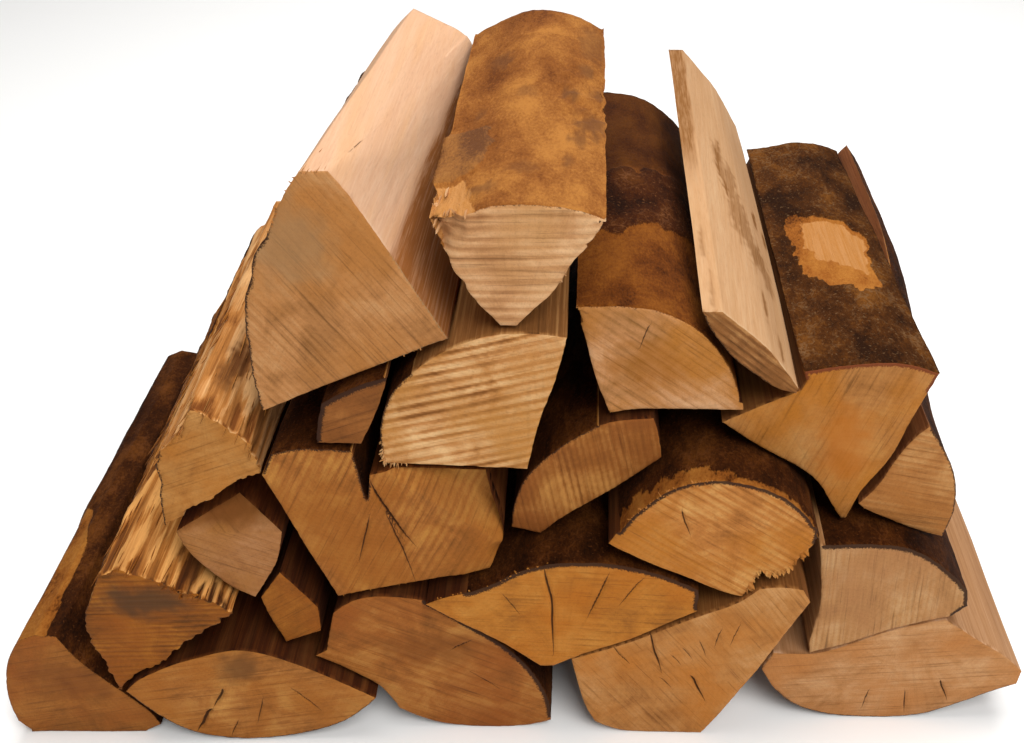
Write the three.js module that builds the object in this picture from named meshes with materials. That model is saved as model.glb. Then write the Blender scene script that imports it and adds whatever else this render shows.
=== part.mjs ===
// A loose stack of twenty-two split firewood logs, sawn ends to the front.
// Millimetres, +Z up, +Y away from the viewer, the stack's middle over the origin.

import * as THREE from 'three';

// Driving dimensions: the common log length, the depth that the whole stack takes up,
// and how far the wavy, tapering sides of a log may draw in from its front outline.
const logLength = 265;
const stackDepth = 333;
const sideWave = 0.022;
const ground = 0;

// How finely a log is cut into flat faces: across its outline and along its length.
const outlineStep = 13;
const lengthSteps = 7;

// Paths are drawn in the sawn face: x to the right, z up, from the log's own middle.
const frontLine = -stackDepth / 2;

const woods = {
  beech: { roughness: 0.78, metalness: 0 },
  ash: { roughness: 0.74, metalness: 0 },
};

// A split side runs straight from corner to corner.
function split(...corners) {
  return { kind: 'split', points: corners.map(([x, z]) => new THREE.Vector2(x, z)) };
}

// A side that kept its bark, or a rounded one, runs as one curve from the last corner.
function round(...points) {
  return { kind: 'round', points: points.map(([x, z]) => new THREE.Vector2(x, z)) };
}

// Joins the stretches into one closed outline with points about outlineStep apart.
function outlineOf(stretches) {
  const outline = [stretches[0].points[0]];
  for (const [index, stretch] of stretches.entries()) {
    const last = outline.at(-1);
    const points = index === 0 ? stretch.points.slice(1) : stretch.points;
    const curves = [];
    if (stretch.kind === 'round') {
      curves.push(new THREE.SplineCurve([last, ...points]));
    } else {
      points.forEach((corner, i) => {
        curves.push(new THREE.LineCurve(i === 0 ? last : points[i - 1], corner));
      });
    }
    for (const curve of curves) {
      const pieces = Math.max(1, Math.round(curve.getLength() / outlineStep));
      outline.push(...curve.getSpacedPoints(pieces).slice(1));
    }
  }
  if (outline.at(-1).distanceTo(outline[0]) < 0.01) outline.pop();
  return outline;
}

// How much a log is drawn in at a point of its side: a slow wave that differs from log to
// log, plus the log's taper towards its far end. It is never less than nothing.
function drawIn(angle, along, seed, taper) {
  const wave = Math.sin(3 * angle + 5 * along + seed) * Math.sin(2.3 * along * Math.PI + 2 * seed);
  const fade = Math.min(1, along * 4);
  return taper * along + sideWave * fade * (0.5 + 0.5 * wave);
}

// The far end of most logs has the outline of the front end.
function alike() {
  return [0, 0];
}

// One log: its outline carried back from the sawn face, with the side drawn in here and
// there, both sawn ends a little out of square, and the part that lies on the ground kept
// flat. at is the middle of the face: x, how far its front is behind the foremost line, z.
// far gives how far a point of the outline has moved, x and z, by the far end.
function log({ name, wood, color, at, outline, length = logLength, taper = 0, far = alike, slant = 0 }) {
  const [x0, setBack, z0] = at;
  const shape = new THREE.Shape(outlineOf(outline));
  const geometry = new THREE.ExtrudeGeometry(shape, {
    depth: length,
    steps: lengthSteps,
    bevelEnabled: false,
  });
  geometry.rotateX(Math.PI / 2);
  geometry.translate(0, length, 0);

  const seed = x0 * 0.37 + z0 * 0.61;
  const position = geometry.attributes.position;
  for (let i = 0; i < position.count; i += 1) {
    const x = position.getX(i);
    const y = position.getY(i);
    const z = position.getZ(i);
    const along = y / length;
    const keep = 1 - drawIn(Math.atan2(z, x), along, seed, taper);
    const onGround = z0 + z < ground + 0.6;
    const squareness = slant * (x + z) * (1 - 2 * along);
    const [farX, farZ] = far(x, z, along);
    position.setXYZ(
      i,
      x * keep + farX * along,
      y + squareness,
      onGround ? ground - z0 : z * keep + farZ * along,
    );
  }
  geometry.computeVertexNormals();

  const mesh = new THREE.Mesh(geometry, new THREE.MeshStandardMaterial({ color, ...woods[wood] }));
  mesh.name = name;
  mesh.position.set(x0, frontLine + setBack, z0);
  return mesh;
}

// The bottom row: five logs that lie on the ground, from left to right.
function bottomRow() {
  return [
    log({
      name: 'bottom_left_corner_log',
      wood: 'beech',
      color: 0x9b6030,
      at: [-265, 5, 38],
      length: 292,
      outline: [
        split([-33, -38], [37, -38]),
        round([49, -27], [27, 5], [11, 28], [5, 45], [1, 49], [-9, 49], [-20, 44]),
        round([-31, 28], [-39, 0], [-41, -20], [-38, -34], [-33, -38]),
      ],
    }),
    log({
      name: 'bottom_half_round_log',
      wood: 'beech',
      color: 0x9f6831,
      at: [-155, 0, 38],
      slant: 0.02,
      outline: [
        split([-73, 7], [-65, 17], [-38, 31]),
        round([-18, 37], [-5, 41], [6, 39], [19, 34], [37, 23.5], [54, 12], [73, -2.5]),
        round([54, -22], [30, -32], [-5, -38], [-39, -31], [-58, -15], [-73, 7]),
      ],
    }),
    log({
      name: 'bottom_slab_log',
      wood: 'beech',
      color: 0xa16b36,
      at: [-45, 9, 58],
      length: 258,
      outline: [
        split([-35, -20], [-31, -29], [-26, -41]),
        round([-6, -54], [17, -58], [45, -58], [58, -56], [66, -52]),
        round([67, -41], [62, -21], [50, 3], [31, 24], [-3, 52.5]),
        round([-29, 56], [-43, 53.5], [-56, 42]),
        split([-64, 11], [-71, 6], [-54, -5], [-35, -20]),
      ],
    }),
    log({
      name: 'bottom_broad_wedge_log',
      wood: 'beech',
      color: 0xb07b45,
      at: [100, 3, 68],
      slant: -0.02,
      outline: [
        round([-43, -65], [-32, -68]),
        split([13, -68], [23, -50], [43, -9], [55, 20], [68, 49]),
        round([69, 54], [64, 58], [56, 62], [39, 59]),
        split([29, 48], [5, 35.5], [-32, 13.5], [-66, -1.5], [-60, -37]),
        round([-54, -56], [-43, -65]),
      ],
    }),
    log({
      name: 'bottom_right_half_round_log',
      wood: 'beech',
      color: 0xab7440,
      at: [226, 16, 42],
      length: 272,
      outline: [
        round([-70, -15], [-55, -31], [-37, -39], [-11, -42], [16, -41.5], [36, -35], [60, -20], [78, -11]),
        round([79, 0], [63, 17]),
        split([53, 23], [36, 37]),
        round([26, 45], [10, 41], [-8, 35], [-27, 24], [-48, 15]),
        split([-72, 17], [-78, 2], [-70, -15]),
      ],
    }),
  ];
}

// The left side, above the corner log: a frayed log, a stick, a small square log and the
// splintered log that leans against the middle of the stack.
function leftSide() {
  return [
    log({
      name: 'left_frayed_log',
      wood: 'beech',
      color: 0x8f5f2c,
      at: [-202, 1, 98],
      length: 285,
      slant: -0.02,
      far: (x, z) => (z > 5 ? [-9, 0] : [0, 0]),
      outline: [
        split([-32, -58], [-21, -43], [1, -31], [10, -21], [23, -8], [35, 0], [49, 11]),
        split([40, 20.5], [27, 25], [14, 35]),
        round([7, 39], [-8, 45], [-17, 43], [-26, 33], [-34, 17], [-38, 0], [-39, -17]),
        split([-36, -23], [-32, -58]),
      ],
    }),
    log({
      name: 'left_small_stick',
      wood: 'beech',
      color: 0xa8692f,
      at: [-124, 11, 104],
      length: 240,
      outline: [
        split([-8, -30.5], [14, -21], [15, -2], [5, 14], [-3, 26], [-17, 6], [-15, -6]),
        split([-8, -30.5]),
      ],
    }),
    log({
      name: 'left_small_square_log',
      wood: 'beech',
      color: 0xa56f42,
      at: [-150, 12, 147],
      length: 248,
      outline: [
        split([-29, 13], [-27, 0], [-22, -9], [-6, -31], [6, -38], [23, -11], [29, 12]),
        split([2, 37], [-29, 13]),
      ],
    }),
    log({
      name: 'left_splintered_log',
      wood: 'beech',
      color: 0xa86e33,
      at: [-155, 16, 198],
      length: 236,
      slant: 0.03,
      far: (x, z) => (z > 5 ? [-8, 0] : [0, 0]),
      outline: [
        split([-30, -37], [-7, -21], [4, -15], [13, -6]),
        split([27, -1.5], [27, 8], [25, 19], [19, 26]),
        split([9, 34], [-1, 37], [-7, 22], [-18, 15], [-21, 10]),
        round([-27, -9], [-30, -28], [-30, -37]),
      ],
    }),
  ];
}

// The middle of the stack: the sector in the notch of the bottom row, and what it carries.
function middle() {
  return [
    log({
      name: 'middle_low_sector_log',
      wood: 'beech',
      color: 0xb5752f,
      at: [30, 4, 104],
      length: 270,
      outline: [
        split([-14, -43], [-6, -43], [13, -32], [39, -21], [56, -9.5], [76, 2.5]),
        round([77, 10], [76, 19]),
        round([61, 28.5], [44, 35], [19, 40], [-1, 40.5], [-21, 36], [-37, 24], [-50, 18]),
        split([-69, 13], [-77, 8], [-61, -5], [-34, -24], [-14, -43]),
      ],
    }),
    log({
      name: 'middle_left_cleft_log',
      wood: 'beech',
      color: 0xa9703a,
      at: [-62, 13, 160],
      slant: 0.02,
      outline: [
        split([-35, -49], [-30, -47.5], [-16, -44.5], [10, -39], [30, -34.5], [36, -35], [52, -29]),
        split([61, -10], [61, -2], [55, 23], [53, 38.5]),
        split([0, 41.5], [-8, 38], [-11, 22], [-15, 54]),
        round([-31, 56], [-49, 56.5], [-57, 53]),
        split([-64, 39], [-56, 15], [-46, -18], [-40, -34], [-35, -49]),
      ],
    }),
    log({
      name: 'middle_thin_leaning_log',
      wood: 'beech',
      color: 0x9c6b40,
      at: [44, 27, 185],
      length: 250,
      outline: [
        split([-26, -41], [-20, -34], [-13, -28], [17, -6], [40, 14]),
        split([38, 33], [35, 40.5], [14, 38.5], [9, 37.5]),
        round([-6, 28], [-25, 11], [-35, -2], [-41, -18], [-42.5, -36]),
        split([-26, -41]),
      ],
    }),
    log({
      name: 'middle_right_bark_log',
      wood: 'beech',
      color: 0xb78246,
      at: [112, 4, 163],
      length: 268,
      outline: [
        split([18, -45], [24, -37], [26, -25], [34, -27], [41, -25], [48, -15], [57, -1]),
        round([57, 6], [51, 13], [42, 24], [31, 33], [16, 38], [3, 41.5], [-9, 40]),
        round([-20, 38], [-27, 33], [-40, 21], [-49, 9]),
        split([-57, -5], [-45, -13], [-27, -23.5], [-14, -30], [0, -37.5], [8, -43], [18, -45]),
      ],
    }),
    log({
      name: 'upper_small_bark_wedge',
      wood: 'beech',
      color: 0x8b5c38,
      at: [-77, 15, 236],
      length: 235,
      outline: [
        split([-18, -18], [5, -18.5], [11, -7], [17, 6], [22, 20], [23, 24]),
        round([16, 23], [5, 17.5], [-8, 11], [-13, 6], [-17, -7], [-18, -18]),
      ],
    }),
    log({
      name: 'upper_striped_log',
      wood: 'ash',
      color: 0xb9863f,
      at: [-12, 15, 245],
      length: 252,
      slant: -0.02,
      outline: [
        split([-50, -41.5], [25, -44.5], [33, -10], [41, 12], [47.5, 39.5]),
        round([30, 42], [9, 41], [-4, 35.5], [-18, 28], [-32, 15.5]),
        round([-39, 10.5], [-47, -7], [-51, -20], [-51, -30], [-50, -41.5]),
      ],
    }),
  ];
}

// The right side, above the half round: a greyish log, a small wedge and the barked log.
function rightSide() {
  return [
    log({
      name: 'right_grey_log',
      wood: 'beech',
      color: 0xb08860,
      at: [215, 15, 110],
      length: 268,
      outline: [
        split([-40, -50.5], [-16, -41.5], [3, -31], [21, -24.5], [39, -19.5]),
        round([46, -15], [47, -6], [44, 3], [29, 20], [12, 33], [-4, 37], [-25, 38], [-43, 36]),
        split([-38, -3], [-38, -19], [-42, -41], [-40, -50.5]),
      ],
    }),
    log({
      name: 'right_small_wedge_log',
      wood: 'beech',
      color: 0xa8703c,
      at: [225, 32, 172],
      length: 280,
      taper: 0.02,
      outline: [
        split([-27, -14], [-7, -24.5], [13, -33.5], [20, -35]),
        round([24, -17], [21, 6], [12, 27], [0, 44]),
        split([-5, 40], [-13.5, 25], [-22, 1], [-31, -10], [-27, -14.5]),
      ],
    }),
    log({
      name: 'top_right_bark_log',
      wood: 'beech',
      color: 0xa56a2a,
      at: [180, 33, 216],
      length: 272,
      taper: 0.01,
      far: (x) => (x > 0 ? [-8, 1] : [-2, 1]),
      outline: [
        split([6, -66], [9, -66], [12, -57], [15, -44], [21, -36], [29, -21], [35, 3], [42, 23]),
        round([46, 29], [44, 35], [27, 40], [9, 41], [-8, 38], [-25, 35]),
        split([-23, 28], [-25, 23], [-35, 18], [-65, 2], [-44, -14.5], [-22, -28], [-8, -40]),
        split([-3, -52], [6, -66]),
      ],
    }),
  ];
}

// The top of the stack: the pale wedge, the two bark-topped logs and the leaning plank.
function topRow() {
  return [
    log({
      name: 'top_left_pale_wedge',
      wood: 'ash',
      color: 0xb0804f,
      at: [-80, 20, 298],
      length: 248,
      // The split top is narrow in front and opens to the full width at the far end.
      far: (x, z) => {
        const rise = Math.max(0, z + 19);
        return x > 5 ? [0.43 * rise, -0.24 * rise] : [0.2 * rise, -0.06 * rise];
      },
      outline: [
        split([57, -19], [54, -20], [-9, -48], [-41, -63]),
        round([-43, -48], [-39, -7], [-32, 16], [-17, 51], [-7, 67], [0, 72], [10, 71]),
        round([16, 63], [20, 55], [33, 30]),
        split([57, -19]),
      ],
    }),
    log({
      name: 'top_centre_bark_log',
      wood: 'beech',
      color: 0xc79a6b,
      at: [12, 17, 327],
      length: 248,
      outline: [
        split([-9, -38.5], [-1, -38.5], [7, -29], [16, -22], [28, 0], [38, 8]),
        round([43, 16], [41, 23], [24, 26], [0, 29], [-14, 27], [-21, 24]),
        split([-41, 19], [-36, 8], [-30, -7], [-20, -25], [-9, -38.5]),
      ],
    }),
    log({
      name: 'top_right_stained_log',
      wood: 'beech',
      color: 0xa9743f,
      at: [84, 31, 258],
      length: 280,
      taper: 0.015,
      far: () => [-4, 0],
      outline: [
        split([-28, -32.5], [-15, -29.5], [5, -30], [42, -30.5], [42, -23]),
        round([34, -3], [23, 15], [7, 27], [-7, 33], [-30, 35], [-46, 34]),
        split([-41, 16], [-35, -13], [-28, -32.5]),
      ],
    }),
    log({
      name: 'top_leaning_plank',
      wood: 'ash',
      color: 0xb98d58,
      at: [126, 28, 266],
      length: 305,
      // It thickens backwards, so that its top climbs while it still lies on its neighbours.
      far: (x, z, along) => [x > 0 ? 2 - 6 * along : -3, 12 + 11 * ((z + 26) / 50)],
      outline: [
        split([16, -24], [26, -26], [27, -22.5], [10, 2], [-15, 24], [-25, 24], [-22, 15], [-8, -5]),
        split([16, -24]),
      ],
    }),
  ];
}

const stack = new THREE.Group();
stack.add(...bottomRow(), ...leftSide(), ...middle(), ...rightSide(), ...topRow());

export default stack;
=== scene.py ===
import math

import bmesh
import bpy
import numpy as np
from mathutils import Matrix, Vector, noise


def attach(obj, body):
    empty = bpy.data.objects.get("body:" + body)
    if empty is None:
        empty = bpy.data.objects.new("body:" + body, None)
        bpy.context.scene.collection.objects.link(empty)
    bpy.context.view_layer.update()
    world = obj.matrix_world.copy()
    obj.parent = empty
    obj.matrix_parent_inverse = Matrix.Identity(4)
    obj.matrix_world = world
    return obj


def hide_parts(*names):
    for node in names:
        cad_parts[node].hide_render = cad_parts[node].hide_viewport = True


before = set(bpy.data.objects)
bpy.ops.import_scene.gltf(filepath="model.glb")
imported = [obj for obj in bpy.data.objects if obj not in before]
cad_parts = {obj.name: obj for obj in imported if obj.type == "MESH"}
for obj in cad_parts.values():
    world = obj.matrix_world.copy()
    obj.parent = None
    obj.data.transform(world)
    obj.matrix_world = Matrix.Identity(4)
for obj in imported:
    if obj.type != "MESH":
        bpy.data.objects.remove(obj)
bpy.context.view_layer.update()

mm = 0.001


# The view: the camera stands square to the sawn ends and looks 35 degrees down on them.
# A pale floor runs on behind the stack, and wide soft lights hang above and in front of it.
photo_width = 1024
focal_pixels = 1173.2
middle_pixel = 600
camera_data = bpy.data.cameras.new("camera")
camera_data.sensor_width = 36
camera_data.lens = camera_data.sensor_width * focal_pixels / photo_width
camera_data.shift_x = (photo_width / 2 - middle_pixel) / photo_width
camera = bpy.data.objects.new("camera", camera_data)
camera.location = (0.051, -0.6245, 0.595)
camera.rotation_euler = (math.radians(90 - 35), 0, 0)
bpy.context.scene.collection.objects.link(camera)
bpy.context.scene.camera = camera
bpy.context.scene.view_settings.view_transform = "Standard"


def linear(code):
    """An sRGB hex colour as the linear colour that a socket takes."""
    parts = [int(code[i:i + 2], 16) / 255 for i in (1, 3, 5)]
    return (*(p / 12.92 if p <= 0.04045 else ((p + 0.055) / 1.055) ** 2.4 for p in parts), 1.0)


def add(tree, kind, settings=None, links=None):
    """Adds one node to a material, with its settings and its links, and returns its outputs."""
    node = tree.nodes.new("ShaderNode" + kind)
    for name, value in (settings or {}).items():
        if name == "stops":
            while len(node.color_ramp.elements) < len(value):
                node.color_ramp.elements.new(0.5)
            for element, (position, color) in zip(node.color_ramp.elements, value):
                element.position = position
                element.color = color
        elif isinstance(name, str) and hasattr(node, name):
            setattr(node, name, value)
        else:
            node.inputs[name].default_value = value
    for name, socket in (links or {}).items():
        tree.links.new(socket, node.inputs[name])
    return node.outputs


# Painted board, rolled on matt: an even pale grey-white with hardly any gloss.
floor_paint = bpy.data.materials.new("matt_painted_board")
floor_paint.use_nodes = True
floor_shader = floor_paint.node_tree.nodes["Principled BSDF"]
floor_shader.inputs["Base Color"].default_value = linear("#FBFAF8")
floor_shader.inputs["Roughness"].default_value = 0.9

floor_half = 8.0
floor_form = bmesh.new()
bmesh.ops.create_grid(floor_form, x_segments=1, y_segments=1, size=floor_half)
bmesh.ops.translate(floor_form, verts=floor_form.verts, vec=(0, 0, -0.2 * mm))
floor_mesh = bpy.data.meshes.new("floor")
floor_form.to_mesh(floor_mesh)
floor_form.free()
floor_mesh.materials.append(floor_paint)
floor = bpy.data.objects.new("floor", floor_mesh)
bpy.context.scene.collection.objects.link(floor)

for name, place, size, watts in (
    ("key_softbox", (0.7, -1.25, 1.75), 1.2, 35),
    ("front_softbox", (-0.7, -2.1, 0.9), 1.6, 6),
    ("top_softbox", (0.1, 0.35, 2.0), 1.6, 39),
    ("back_softbox", (0.0, 2.6, 1.5), 1.6, 20),
):
    light_data = bpy.data.lights.new(name, "AREA")
    light_data.shape = "SQUARE"
    light_data.size = size
    light_data.energy = watts
    light = bpy.data.objects.new(name, light_data)
    light.location = place
    light.rotation_euler = (Vector((0, 0, 0.15)) - Vector(place)).to_track_quat("-Z", "Y").to_euler()
    bpy.context.scene.collection.objects.link(light)

world = bpy.data.worlds.new("studio")
world.use_nodes = True
world.node_tree.nodes["Background"].inputs["Color"].default_value = linear("#FFFDFA")
world.node_tree.nodes["Background"].inputs["Strength"].default_value = 0.08
bpy.context.scene.world = world


# Bottom left corner log: a beech quarter that lies on a flat split side. It kept its dark
# bark towards the back, and in front the bark has come off down to the orange inner bark.
def fine_log(node):
    """A log's CAD solid as one closed form: quads that run along the grain, their rounds
    smoothed, and a fine grid on both sawn ends. Faces carry part: 0 side, 1 front, 2 back."""
    across, along, front_grid, back_grid = ((1.7, 3.8, 1.1, 3.0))
    form = bmesh.new()
    form.from_mesh(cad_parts[node].data)
    bmesh.ops.remove_doubles(form, verts=form.verts, dist=0.01 * mm)
    part = form.faces.layers.int.new("part")

    # Each sawn end becomes one face.
    front_y = min(v.co.y for v in form.verts)
    back_y = max(v.co.y for v in form.verts)
    reach = (back_y - front_y) / 14
    for label, end_y in ((1, front_y), (2, back_y)):
        end = [f for f in form.faces if all(abs(v.co.y - end_y) < reach for v in f.verts)]
        made = bmesh.ops.dissolve_faces(form, faces=end, use_verts=False)["region"]
        made[0][part] = label

    # The side's triangles become quads: ring by ring, the edge to a neighbour's point goes.
    ring = [loop.vert for loop in next(f for f in form.faces if f[part] == 1).loops]
    rings = [ring]
    seen = set(ring)
    diagonals = []
    while True:
        behind = [{e.other_vert(v) for e in v.link_edges} - seen for v in ring]
        if not behind[0]:
            break
        shared = [next(iter(behind[i - 1] & behind[i])) for i in range(len(ring))]
        own = sum((v.co.xz - s.co.xz).length for v, s in zip(ring, shared))
        other = sum((ring[i - 1].co.xz - s.co.xz).length for i, s in enumerate(shared))
        straight = shared if own < other else shared[1:] + shared[:1]
        for v, s, near in zip(ring, straight, behind):
            diagonals += [e for e in v.link_edges if e.other_vert(v) in near - {s}]
        ring = straight
        rings.append(ring)
        seen |= set(ring)
    bmesh.ops.dissolve_edges(form, edges=diagonals, use_verts=False)

    # Fine steps across the grain, then longer ones along it.
    by_cuts = {}
    for i in range(len(rings[0])):
        edges = [next(e for e in r[i].link_edges if e.other_vert(r[i]) is r[i - 1]) for r in rings]
        length = max(e.calc_length() for e in edges) / mm
        by_cuts.setdefault(max(0, round(length / across) - 1), []).extend(edges)
    for cuts, edges in by_cuts.items():
        if cuts:
            bmesh.ops.subdivide_edges(form, edges=edges, cuts=cuts, use_only_quads=True)
    lengthwise = [e for e in form.edges if abs(e.verts[0].co.y - e.verts[1].co.y) > 0.5 * e.calc_length()]
    step = max(e.calc_length() for e in lengthwise) / mm
    bmesh.ops.subdivide_edges(form, edges=lengthwise, cuts=round(step / along) - 1, use_only_quads=True)

    # Each point slides towards the middle of its two neighbours on its ring, except at the
    # sharp corners, so that the rounds lose their facets.
    form.verts.index_update()
    points = np.array([v.co[:] for v in form.verts])
    ends = np.array([[v.index for v in e.verts] for e in form.edges])
    gap = points[ends[:, 1]] - points[ends[:, 0]]
    pairs = ends[np.abs(gap[:, 1]) < 0.5 * np.linalg.norm(gap, axis=1)]
    both = np.concatenate([pairs, pairs[:, ::-1]])
    near = both[np.argsort(both[:, 0], kind="stable")][:, 1].reshape(-1, 2)
    before, after = points[near[:, 0]] - points, points[near[:, 1]] - points
    turn = (before * after).sum(1) / np.linalg.norm(before, axis=1) / np.linalg.norm(after, axis=1)
    soft = turn < -math.cos(math.radians(28))
    for _ in range(24):
        halfway = (points[near[:, 0]] + points[near[:, 1]]) / 2
        halfway[:, 1] = points[:, 1]
        points[soft] += 0.6 * (halfway - points)[soft]
    for v, place in zip(form.verts, points.tolist()):
        v.co = place

    # The sawn ends are cut into a grid, one plane after the other across what is left.
    for label, grid in ((1, front_grid), (2, back_grid)):
        for axis in (0, 2):
            rest = [f for f in form.faces if f[part] == label]
            low = min(v.co[axis] for f in rest for v in f.verts)
            high = max(v.co[axis] for f in rest for v in f.verts)
            normal = [float(axis == 0), 0, float(axis == 2)]
            count = math.ceil((high - low) / (grid * mm))
            for i in range(1, count):
                level = low + (high - low) * i / count
                rest = [f for f in rest if max(v.co[axis] for v in f.verts) > level]
                cut = set(rest)
                for f in rest:
                    cut.update(f.edges)
                    cut.update(f.verts)
                made = bmesh.ops.bisect_plane(
                    form, geom=list(cut), dist=0.001 * mm, plane_no=normal, plane_co=[level * n for n in normal])
                rest = [f for f in made["geom"] if isinstance(f, bmesh.types.BMFace)]
    return form


def bumps(points, size, seed=0):
    """Smooth noise from about -1 to 1 at points in mm, with bumps size mm long each way."""
    scaled = points / np.array(size, float) + 31.7 * seed
    return np.array([noise.noise(p) for p in scaled.tolist()])


def smooth(value, low, high):
    """0 below low, 1 above high, and a soft step between them."""
    t = np.clip((value - low) / (high - low), 0, 1)
    return t * t * (3 - 2 * t)


def to_line(flat, corners):
    """How far points (x, z) are from a line of corners, how far along it from 0 to 1, and on
    which of its sides, -1 or 1."""
    best = np.full(len(flat), 1e9)
    share = np.zeros(len(flat))
    side = np.ones(len(flat))
    corners = np.array(corners, float)
    for i, (start, end) in enumerate(zip(corners[:-1], corners[1:])):
        run = end - start
        t = np.clip(((flat - start) @ run) / (run @ run), 0, 1)
        gap = np.linalg.norm(flat - start - t[:, None] * run, axis=1)
        nearer = gap < best
        best[nearer] = gap[nearer]
        share[nearer] = (i + t[nearer]) / (len(corners) - 1)
        side[nearer] = np.where((flat[nearer] - start) @ [-run[1], run[0]] < 0, -1, 1)
    return best, share, side


def within(flat, corners):
    """How far points lie inside a patch with these corners, and outside it as a negative."""
    gap = to_line(flat, [*corners, corners[0]])[0]
    inside = np.zeros(len(flat), bool)
    for (x0, y0), (x1, y1) in zip(corners, [*corners[1:], corners[0]]):
        if y0 != y1:
            crosses = (y0 > flat[:, 1]) != (y1 > flat[:, 1])
            inside ^= crosses & (flat[:, 0] < x0 + (flat[:, 1] - y0) * (x1 - x0) / (y1 - y0))
    return np.where(inside, gap, -gap)


def torn_fibre(form, start, run, lean, length, width):
    """One torn fibre in mm: a three-sided taper from start along run that bends to lean."""
    fibre_steps = 4
    turn = Vector(run).to_track_quat("Z", "X").to_matrix().to_4x4()
    made = bmesh.ops.create_circle(
        form, cap_ends=True, segments=3, radius=width / 2 * mm, matrix=Matrix.Translation(Vector(start) * mm) @ turn)
    tip = made["verts"][0].link_faces[0]
    for step in range(fibre_steps):
        out = bmesh.ops.extrude_face_region(form, geom=[tip])["geom"]
        tip = next(g for g in out if isinstance(g, bmesh.types.BMFace))
        way = (Vector(run) + Vector(lean) * (step + 0.5) / fibre_steps).normalized()
        bmesh.ops.translate(form, verts=tip.verts, vec=way * (length / fibre_steps * mm))
        middle = tip.calc_center_median()
        bmesh.ops.scale(form, verts=tip.verts, vec=[0.85 if step < 3 else 0.2] * 3, space=Matrix.Translation(-middle))
    return 3 * (fibre_steps + 1)


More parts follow.
